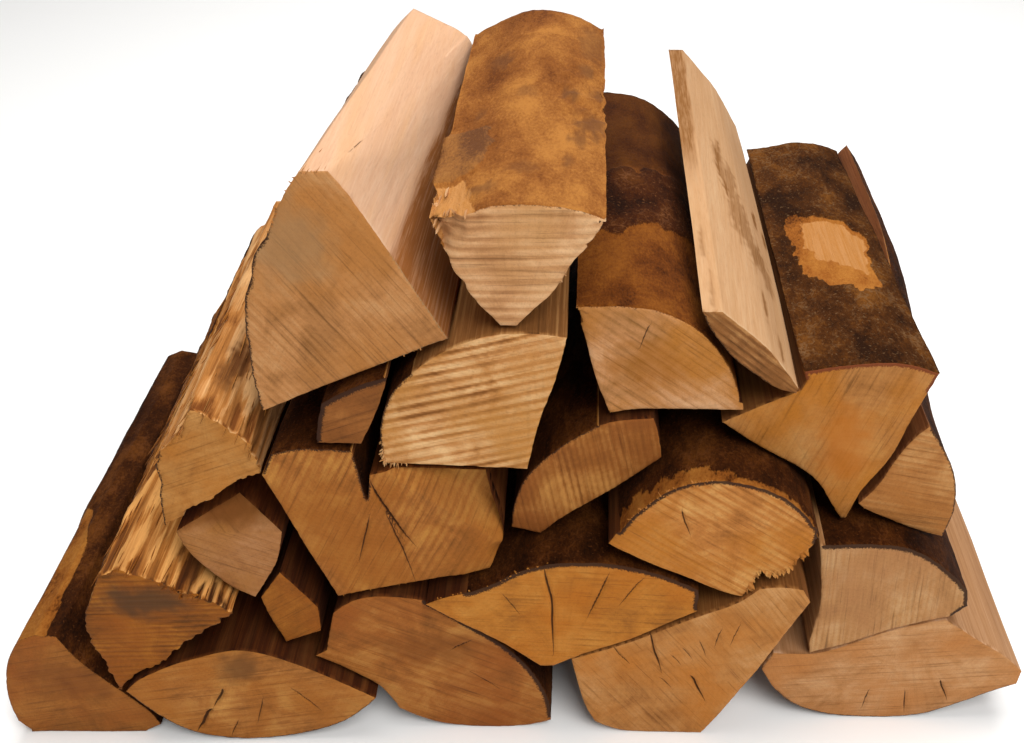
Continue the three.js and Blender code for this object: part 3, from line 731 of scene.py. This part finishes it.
def frayed_gap_shade(along, flat, points):
    """Painted shade in the gaps between the fibres, most of it near the sawn end."""
    close = smooth(-along, -0.16, -0.02) * smooth(flat[:, 0], 2, 14)
    return smooth(bumps(points, (2.4, 26, 2.4), 18) + 0.3 * close, 0.16, 0.34) * (0.35 + 0.65 * close)


make_log(
    "left_frayed_log", (-202, 98),
    end=sawn_end("sawn_beech_frayed_log", (-208, 60), 3, "#593309", "#814810", "#A2661D", "#894A0E", stain="#46301A"),
    # Its side's stain colour is the painted shade in the gaps between the fibres.
    side=split_side("torn_beech_frayed_log", "#5A2F10", "#A4652A", "#D89A55", streaks=0.6, contrast=1.5, stain="#3E1F0A"),
    bark=dark_bark, bark_from_to=((118, 178),), bare=frayed_bare, rim=0, knobbly=2.0,
    saw=(3, 4.2, 0.16), torn=1.0,
    tint=frayed_gap_shade,
    stains_and_shade=(((2, 20), (28, 15), 0.8),),
    slivers=(
        ((20, 130), (0.02, 0.5), 110, (10, 26), 1.2, 0.05),
        ((20, 130), (0.3, 1.0), 90, (12, 34), 1.4, 0.04)),
    frays=(((35, 75), 34, (1.5, 4.5), 1.6, (0, 0, -0.9)),))
make_log(
    "left_small_stick", (-124, 104),
    end=sawn_end("sawn_beech_stick", (-140, 90), 35, "#6D3D0E", "#8A5014", "#9E621E", "#8A480D", stripes=0.1),
    # Its split side is painted near black: painted shade, as that side shows only in the gaps between the logs.
    side=split_side("split_beech_stick", "#220C02", "#3C1A06", "#582C0C"), saw=(35, 5, 0.05))
def sloping_top(moved, flat, along, front):
    """Above the sawn face the split top slopes back."""
    above = np.clip(flat[:, 1] - 12, 0, 25) * np.clip(1 - along / 0.4, 0, 1)
    moved[:, 1] += 0.86 * above
    moved[:, 2] -= 0.6 * above
    return moved


make_log(
    "left_small_square_log", (-150, 147),
    # The stain on the face's upper part, which sloping_top sets back, is painted shade under the log above.
    end=sawn_end("sawn_beech_square_log", (-190, 120), -25, "#7D4F2C", "#9B673A", "#AF7D53", "#9B652C", stripes=0.1,
                 stain="#6E3D14"),
    # Its split side is painted near black: painted shade, as that side shows only in the gaps between the logs.
    side=split_side("split_beech_square_log", "#240D02", "#421D07", "#633310"), saw=(-25, 5, 0.05),
    stains_and_shade=(((-4, 27), (34, 14), 0.7),), shape=sloping_top)


def grown_up(along, angle, points):
    return 4.5 * smooth(angle % 360, 60, 95) * smooth(-(angle % 360), -200, -165)


make_log(
    "left_splintered_log", (-155, 198),
    end=sawn_end("sawn_beech_splintered_log", (-150, 240), 20, "#804E1C", "#A56E33", "#B78449", "#AB6922", stripes=0.12),
    side=split_side("torn_beech_splintered_log", "#6F3C15", "#AD7036", "#CE9B65", streaks=0.45, contrast=1.4),
    bark=dark_bark, bark_from_to=((152, 230),), rim=0.8, saw=(20, 6, 0.06), torn=1.0, knobbly=1.8, proud=grown_up,
    spots=(((-149, -110, 232), (5, 16), 0.9), ((-147, -92, 231), (7, 18), 1.0), ((-130, -118, 206), (9, 40), 0.7)),
    slivers=(
        ((10, 160), (0.02, 0.45), 110, (8, 24), 1.2, 0.06),
        ((30, 160), (0.3, 1.0), 80, (12, 32), 1.4, 0.05)),
    frays=(((80, 190), 26, (1, 3), 1.4, (0, 0, 0.5)),))


# The middle: a sector with its heart down in the notch of the bottom row, the blocky log
# with a cleft in its top, a thin slab, a barked half log, and on them two upper ones.
make_log(
    "middle_low_sector_log", (30, 104),
    end=sawn_end("sawn_beech_low_sector", (28, 64), -4, "#84501A", "#AB6B23", "#BB8037", "#A65F14", stripes=0.1),
    # Its split side is painted near black: painted shade, as that side shows only in the gaps between the logs.
    side=split_side("split_beech_low_sector", "#220C02", "#3E1B06", "#5C2F0D"),
    bark=dark_bark, bark_from_to=((4, 162),), rim=2.6, saw=(-4, 5, 0.05), knobbly=1.5,
    cracks=(
        ([(-10, 38), (-8, 24), (-6, 12), (-6, -10), (-6, -33)], 1.0),
        ([(26, 32), (20, 14), (14, -2)], 0.6),
        ([(45, 29), (32, 8)], 0.4),
        ([(-33, 16), (-24, 1)], 0.3)),
    frays=(((100, 172), 34, (1, 2.6), 1.2, (0, 0, 0.3)),))


def broken_corner(moved, flat, along, front):
    past = (flat @ [0.66, 0.75]) - 31
    moved[:, 1] += np.where(front, 0.9 * np.clip(past, 0, 14), 0)
    chip = np.clip(9 - np.hypot(flat[:, 0] - 60, flat[:, 1] + 18), 0, 9)
    moved[:, 1] += np.where(front, 0.7 * chip, 0)
    return moved


make_log(
    "middle_left_cleft_log", (-62, 160),
    end=sawn_end("sawn_beech_cleft_log", (-60, 220), 62, "#6D4013", "#995D25", "#B9813A", "#915418", stripes=0.3),
    side=split_side("split_beech_cleft_log", "#2D1204", "#55290B", "#7C4316"),
    bark=dark_bark, bark_from_to=((106, 148),), rim=0.8, saw=(62, 4.6, 0.12), shape=broken_corner,
    cracks=(
        ([(-9, 36), (-6, 25), (-3, 18), (1, 9), (5, 0), (12, -12)], 1.1),
        ([(-2, 12), (1, 0), (4, -12), (10, -39)], 0.6),
        ([(-11, 11), (-14, -2), (-16, -8), (-20, -22)], 0.6)),
    # This stain at the upper right, on the corner that broken_corner sets back, is painted shade.
    stains_and_shade=(((40, 20), (24, 20), 0.2),),
    frays=(((215, 280), 12, (1, 2.4), 1.0, (0, 0, -0.5)),))
make_log(
    "middle_thin_leaning_log", (44, 185),
    end=sawn_end("sawn_beech_thin_slab", (80, 140), 100, "#6A3B13", "#8C541F", "#B0783A", "#84491A", stripes=0.4),
    # Its split side is painted near black: painted shade, as that side shows only in the gaps between the logs.
    side=split_side("split_beech_thin_slab", "#220C02", "#3C1A06", "#582C0C"),
    bark=dark_bark, bark_from_to=((80, 218),), rim=0.6, saw=(100, 3.6, 0.14))
def right_bark_bare(along, angle, points):
    return 0.4 * smooth(3.5 + 6 * bumps(points, (7, 9, 7), 5) - 0.12 * (points[:, 0] - 80) - (points[:, 1] + 153), -2, 1)


make_log(
    "middle_right_bark_log", (112, 163),
    end=sawn_end("sawn_beech_right_bark_log", (120, 120), -36, "#7E4B19", "#AE6F33", "#CB9958", "#A8661C", stripes=0.35),
    # Its split side is painted near black: painted shade, as that side shows only in the gaps between the logs.
    side=split_side("split_beech_right_bark_log", "#220C02", "#421E07", "#643510"),
    bark=dark_bark, bark_from_to=((-4, 176),), rim=2.2, saw=(-36, 4.6, 0.16), knobbly=1.4,
    bare=right_bark_bare,
    cracks=(([(-18, 20), (-17, 14), (-16, 10), (-13, 2)], 0.6),),
    frays=(((298, 350), 70, (1.5, 5), 3.2, (0.2, -0.6, -1.6)), ((90, 165), 50, (1, 3), 1.3, (0, 0, 0.5))))
make_log(
    "upper_small_bark_wedge", (-77, 236),
    end=sawn_end("sawn_beech_bark_wedge", (-50, 230), 20, "#643A15", "#824D1F", "#9B642F", "#7A4617", stripes=0.12),
    side=split_side("split_beech_bark_wedge", "#361D0E", "#5C3619", "#7C4E28"),
    bark=dark_bark, bark_from_to=((48, 222),), rim=2.6, saw=(20, 5, 0.05))
make_log(
    "upper_striped_log", (-12, 245),
    end=sawn_end("sawn_ash_striped_log", (20, 320), 15, "#7D4C1E", "#B77E47", "#D7AC78", "#B17838", stripes=0.9, lines=0.7),
    side=split_side("split_ash_striped_log", "#4A2C14", "#84552A", "#B98A54"),
    bark=dark_bark, bark_from_to=((150, 214),), rim=0.8, saw=(15, 5.6, 0.28),
    frays=(((208, 228), 34, (1.5, 4.5), 1.5, (-0.2, -0.3, -0.8)),))


# The right side: a greyish quarter whose bark lifts off, a small wedge, and the big barked
# log with a place where the bark was knocked off. Beech, dried with the bark on.
make_log(
    "right_grey_log", (215, 110),
    end=sawn_end("sawn_beech_grey_log", (190, 60), 92, "#845C35", "#AA7A4A", "#BC9467", "#A27044", stripes=0.25),
    side=split_side("split_beech_grey_log", "#6A4426", "#A07044", "#C49264"),
    bark=dark_bark, bark_from_to=((-24, 138),), rim=2.6, saw=(92, 3.6, 0.1))


def small_wedge_risen(moved, flat, along, front):
    lift = 37 * smooth(along, 0.1, 0.62) * smooth(moved[:, 0], 208, 220) * smooth(flat[:, 1], -18, 12)
    moved[:, 2] += lift
    return moved


make_log(
    "right_small_wedge_log", (225, 172),
    end=sawn_end("sawn_beech_small_wedge", (190, 180), -12, "#7D4D22", "#A46D39", "#BA8953", "#9E632C", stripes=0.35),
    side=split_side("split_beech_small_wedge", "#43200E", "#6E3E20", "#8C5A34"),
    bark=dark_bark, bark_from_to=((-58, 88),), rim=0.8, saw=(-12, 4.6, 0.12), shape=small_wedge_risen)


def big_bark_bare(along, angle, points):
    """A place where the bark was knocked off: orange at its edge, and pale wood within."""
    flat = points[:, :2] + 4 * bumps(points, (8, 8, 8), 6)[:, None]
    off = within(flat, [(165, 30), (172, 37), (198, 23), (212, 5), (209, -35), (212, -52), (197, -60), (171, -44), (167, -13)])
    pale = within(flat, [(175, 26), (196, 22), (210, 2), (208, -26), (206, -40), (192, -30), (180, -20), (174, -4)])
    return 0.5 * smooth(off, -1.5, 1.0) + 0.5 * smooth(pale, -1.5, 1.5)


make_log(
    "top_right_bark_log", (180, 216),
    end=sawn_end("sawn_beech_big_bark_log", (186, 150), 70, "#7F4F1F", "#A76F38", "#B9874C", "#A96617", stripes=0.12,
                 stain="#AC6010", edge="#6A3216"),
    side=split_side("split_beech_big_bark_log", "#3A2010", "#6A3E1C", "#90602E"),
    bark=tree_bark("weathered_beech_bark", "#230F02", "#422206", "#6B4015", "#452107", "#864D1A", "#9E6529", "#AB7745",
                   net="#6E5236"),
    bark_from_to=((28, 128),), bare=big_bark_bare, rim=2.0, saw=(70, 5, 0.05), knobbly=1.3,
    stains_and_shade=(((2, -14), (16, 30), 0.6),))


# The top: the wedge with the pale split top, two logs with orange bark, and the plank that
# leans between its neighbours. The wedge and the plank are ash, the others beech.
def left_bark_proud(along, angle, points):
    """The bark on the left is lumpy, and the edge that runs back over the top is worn round."""
    edge_x, edge_z = -80 + 10 + 38.7 * along, 298 + 71 - 21.6 * along
    worn = 1 + 24 * smooth(along, 0, 0.35) * (1 - 0.6 * smooth(along, 0.7, 1))
    near = np.clip(worn - np.hypot(points[:, 0] - edge_x, points[:, 2] - edge_z), 0, None)
    return -0.2 * near ** 2 / worn + 3.5 * smooth(angle % 360, 118, 135) * smooth(-(angle % 360), -215, -190) * (
        0.6 + 0.8 * bumps(points, (14, 20, 14), 12))


def shaded_lower_side(along, flat, points):
    """Below the edge that runs back from the face's right side, the wood is painted brown as painted shade."""
    return smooth(31 + 7 * along - flat[:, 1] + 2 * bumps(points, (5, 40, 5), 15), -3, 7) * smooth(flat[:, 0], 15, 25)


make_log(
    "top_left_pale_wedge", (-80, 298),
    end=sawn_end("sawn_ash_pale_wedge", (-120, 240), -56, "#845629", "#AF7846", "#C0915F", "#A76C32", stripes=0.2,
                 stain="#8E7250"),
    # Its side's stain colour paints that shade on the lower right side.
    side=split_side("split_ash_pale_wedge", "#B4825F", "#C89E7D", "#D3B194", streak="#C8945C", streaks=0.25, contrast=0.55,
                    stain="#8A5428"),
    bark=dark_bark, bark_from_to=((118, 236),), rim=0.8, saw=(-56, 4, 0.08), proud=left_bark_proud, knobbly=2.0,
    stains_and_shade=(((-14, 34), (22, 26), 0.5),),
    tint=shaded_lower_side,
    slivers=(((80, 122), (0.02, 0.14), 26, (5, 14), 1.4, 0.1),),
    frays=(((86, 122), 34, (1, 3.2), 1.6, (0, 0, 0.4)), ((318, 335), 12, (1, 2.5), 1.0, (0, 0, 0.6))))
orange_bark = tree_bark(
    "peeled_beech_bark", "#603B21", "#88582B", "#9A6A37", "#5E3212", "#7E4A1E", "#A26A30", "#B27C46", net="#8E5A30", mottle=30)


def centre_bare(along, angle, points):
    """A flake of grey bark is left on the left, and the front left corner is broken wood."""
    flat = points[:, :2] + 2.5 * bumps(points, (6, 6, 6), 7)[:, None]
    flake = within(flat, [(-40, -55), (-7, -57), (-4, -76), (-8, -102), (-21, -112), (-40, -108)])
    broken = within(flat, [(-50, -116), (-16, -115), (-10, -128), (-12, -136), (-6, -160), (-50, -160)])
    return 0.5 - 0.5 * smooth(flake, -1.5, 1) + 0.5 * smooth(broken, -2, 1)


def centre_lumps(along, angle, points):
    """The flake stands up, and the broken corner and the knots are lumpy."""
    corner = smooth(30 - np.hypot(points[:, 0] + 28, points[:, 1] + 138), 0, 16)
    knots = smooth(22 - np.hypot(points[:, 0] - 44, (points[:, 1] + 22) / 3), 0, 12)
    flake = within(points[:, :2], [(-40, -55), (-7, -57), (-4, -76), (-8, -102), (-21, -112), (-40, -108)])
    lumps = bumps(points, (7, 8, 7), 14)
    return 2.8 * corner * lumps + 2.4 * knots * lumps + 1.2 * smooth(flake, -1, 1)


def centre_swollen(moved, flat, along, front):
    """The log thickens towards its far end, and its front left corner is broken off."""
    bulge = 9 * smooth(along, 0.25, 1.0) * (1 - np.clip(np.abs(moved[:, 0] - 16) / 48, 0, 1) ** 2)
    moved[:, 2] += bulge * smooth(flat[:, 1], -10, 18)
    corner = np.clip(20 - np.hypot(flat[:, 0] + 42, flat[:, 1] - 16), 0, 20)
    moved[:, 1] += np.where(front, 0.7 * corner * (1 + 0.6 * bumps(moved, (5, 5, 5), 13)), 0)
    return moved


make_log(
    "top_centre_bark_log", (12, 327),
    end=sawn_end("sawn_beech_centre_bark_log", (10, 285), 0, "#95643B", "#BA885A", "#D4A97C", "#B68450", stripes=0.5),
    side=split_side("split_beech_centre_bark_log", "#5E3818", "#98642E", "#C08E54"),
    bark=orange_bark, bark_from_to=((8, 170),), bare=centre_bare, rim=0, saw=(0, 5.6, 0.2), knobbly=1.8,
    proud=centre_lumps, shape=centre_swollen,
    spots=(
        ((44, 17, 352), (5, 8), 0.7), ((36, -17, 353), (5, 8), 0.8), ((47, -48, 350), (9, 18), 0.75),
        ((41, -70, 352), (6, 9), 0.6), ((51, -8, 348), (5, 9), 0.7), ((36, -97, 353), (4, 7), 0.55),
        ((-6, 28, 352), (8, 12), 0.65), ((-13, -38, 350), (3, 8), 0.5), ((11, -20, 355), (6, 8), 0.4),
        ((14, -108, 355), (9, 7), 0.4), ((-4, -128, 352), (8, 6), 0.6), ((46, 60, 348), (9, 30), 0.45)),
    slivers=(((130, 164), (0.02, 0.17), 14, (5, 14), 2.2, 0.1),),
    frays=(((318, 345), 12, (1, 2.8), 1.3, (0, 0, -0.6)), ((140, 166), 16, (1.5, 4), 2.0, (0, 0, 0.2))))


def stained_bare(along, angle, points):
    """Orange in front, a band of dark bark, and darker orange behind it."""
    across = (points[:, 0] - 56) / 40
    y = points[:, 1] + 8 * bumps(points, (9, 12, 9), 9)
    return 0.5 * (smooth(-55 + 17 * across - y, -3, 3) + smooth(y - 18 - 16 * across, -3, 3))


def stained_dark_back(along, flat, points):
    across = (points[:, 0] - 56) / 40
    return 0.62 * smooth(points[:, 1] - 12 - 16 * across + 9 * bumps(points, (12, 16, 12), 17), -3, 14)


make_log(
    "top_right_stained_log", (84, 258),
    end=sawn_end("sawn_beech_stained_log", (50, 220), -38, "#895C2C", "#B27C4C", "#CD9F74", "#A86A23", stripes=0.2,
                 stain="#95580F"),
    # Its split side is painted near black: painted shade, as that side shows only in the gaps between the logs.
    side=split_side("split_beech_stained_log", "#220C02", "#3E1B06", "#5C2F0D"),
    bark=tree_bark("stained_beech_bark", "#1E0A01", "#3A1904", "#532C0B", "#391904", "#60310C", "#7F4916", "#B67A40",
                   net="#74492A", mottle=24),
    bark_from_to=((-32, 152),), bare=stained_bare, tint=stained_dark_back, rim=0, saw=(-38, 5, 0.07), knobbly=1.6,
    cracks=(([(-8, 23), (-10, 18), (-13, 9)], 0.4),), stains_and_shade=(((-6, -2), (24, 18), 0.55),))
def plank_shaded_edge(along, flat, points):
    """Towards the back its narrow left edge is painted dark as painted shade."""
    edge = smooth(-flat[:, 0] + 1.5 * bumps(points, (4, 30, 4), 16), 15, 19)
    return 0.95 * edge * smooth(along, 0.3, 0.6)


make_log(
    "top_leaning_plank", (126, 266),
    end=sawn_end("sawn_ash_leaning_plank", (100, 200), -40, "#5D3917", "#88572C", "#B68550", "#7D4E23", stripes=0.6),
    # Its side's stain colour serves the dark spots on its top and the painted shade on its left edge.
    side=split_side("split_ash_leaning_plank", "#9D6E41", "#B78D65", "#C7A680", streak="#A87A4A", streaks=0.2, contrast=0.6,
                    stain="#7E5228"),
    bark=dark_bark, bark_from_to=((138, 300),), rim=0.5, saw=(-40, 4, 0.14), tint=plank_shaded_edge,
    spots=(
        ((124, 44, 290), (5, 28), 0.8), ((128, 20, 285), (7, 28), 0.8), ((132, -12, 279), (9, 28), 0.8),
        ((135, -31, 275), (10, 24), 0.8), ((141, -42, 266), (9, 22), 0.85), ((145, -56, 259), (6, 20), 0.75),
        ((123, 35, 290), (2, 24), 1.0), ((126, 8, 286), (2, 16), 1.0), ((145, 12, 262), (2.2, 16), 1.0),
        ((150, 2, 252), (2, 12), 1.0), ((139, -92, 266), (1.8, 18), 0.9), ((145, -120, 256), (1.8, 16), 0.8),
        ((105, -76, 295), (2, 24), 0.7), ((107, -118, 291), (2, 22), 0.7)))
